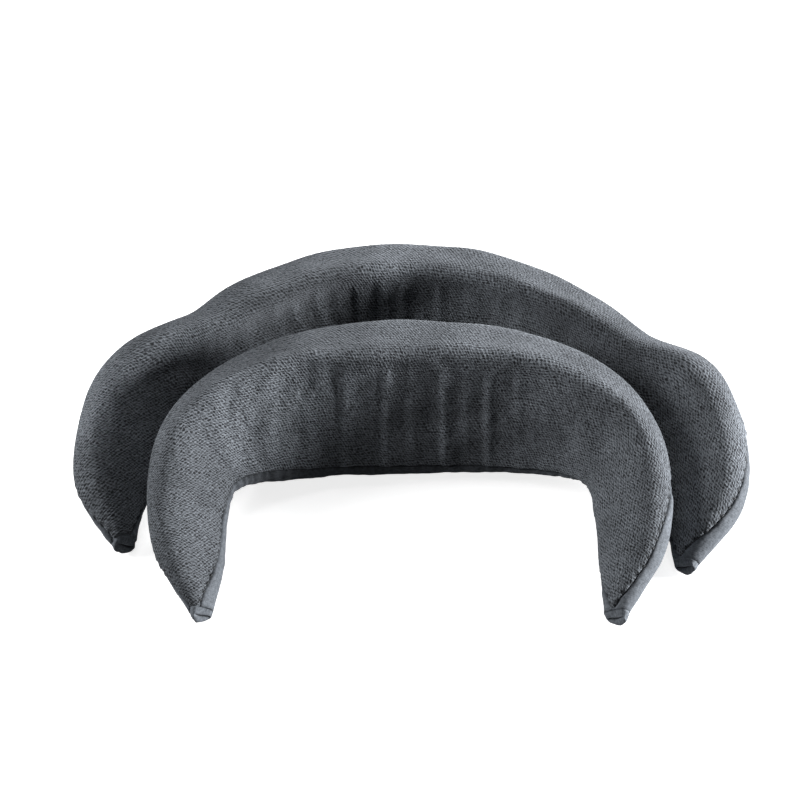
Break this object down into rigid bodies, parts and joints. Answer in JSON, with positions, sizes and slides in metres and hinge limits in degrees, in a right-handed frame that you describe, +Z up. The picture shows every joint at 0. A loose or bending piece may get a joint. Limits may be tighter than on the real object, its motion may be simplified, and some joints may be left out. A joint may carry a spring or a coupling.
{
  "type": "headrest cushion set",
  "caption": "Nested crescent head cushions, a larger rear pad and a smaller front pad, in terry knit covers with foam cores and hook patches for a chair headrest.",
  "frame": {"origin": "bottom centre of the common box of both pads, on the surface they stand on", "axes": "+Z up, +X to the right across both pads, +Y from the open side between the arms towards the backs"},
  "size_m": [0.2831, 0.1832, 0.0658],
  "materials": {
    "terry_knit": "slate grey terry knit with small loops",
    "smooth_knit": "slate grey fine smooth knit",
    "sewing_thread": "dark grey polyester thread",
    "elastic_webbing": "dark braided elastic",
    "comfort_foam": "soft open-cell foam",
    "core_foam": "firm moulded foam",
    "stiffener_board": "flexible matte plastic sheet",
    "hook_fastener": "hook side of touch fastener, small moulded hooks"
  },
  "bodies": {
    "rear_pad": {"large_terry_cover": "terry_knit", "large_back_panel": "smooth_knit", "large_hem_elastic": "elastic_webbing", "large_seam_thread_upper": "sewing_thread", "large_seam_thread_lower": "sewing_thread", "large_comfort_foam": "comfort_foam", "large_foam_core": "core_foam", "large_stiffener": "stiffener_board", "large_tip_tab_left": "smooth_knit", "large_tip_tab_right": "smooth_knit", "large_hook_patch_left": "hook_fastener", "large_hook_patch_centre": "hook_fastener", "large_hook_patch_right": "hook_fastener"},
    "front_pad": {"small_terry_cover": "terry_knit", "small_back_panel": "smooth_knit", "small_hem_elastic": "elastic_webbing", "small_seam_thread_upper": "sewing_thread", "small_seam_thread_lower": "sewing_thread", "small_comfort_foam": "comfort_foam", "small_foam_core": "core_foam", "small_stiffener": "stiffener_board", "small_tip_tab_left": "smooth_knit", "small_tip_tab_right": "smooth_knit", "small_hook_patch_left": "hook_fastener", "small_hook_patch_centre": "hook_fastener", "small_hook_patch_right": "hook_fastener"}
  },
  "joints": [
    {"name": "front_pad_lift", "type": "slide", "parent": "rear_pad", "child": "front_pad", "axis": [0, 0, 1], "range_m": [0, 0.12]}
  ]
}
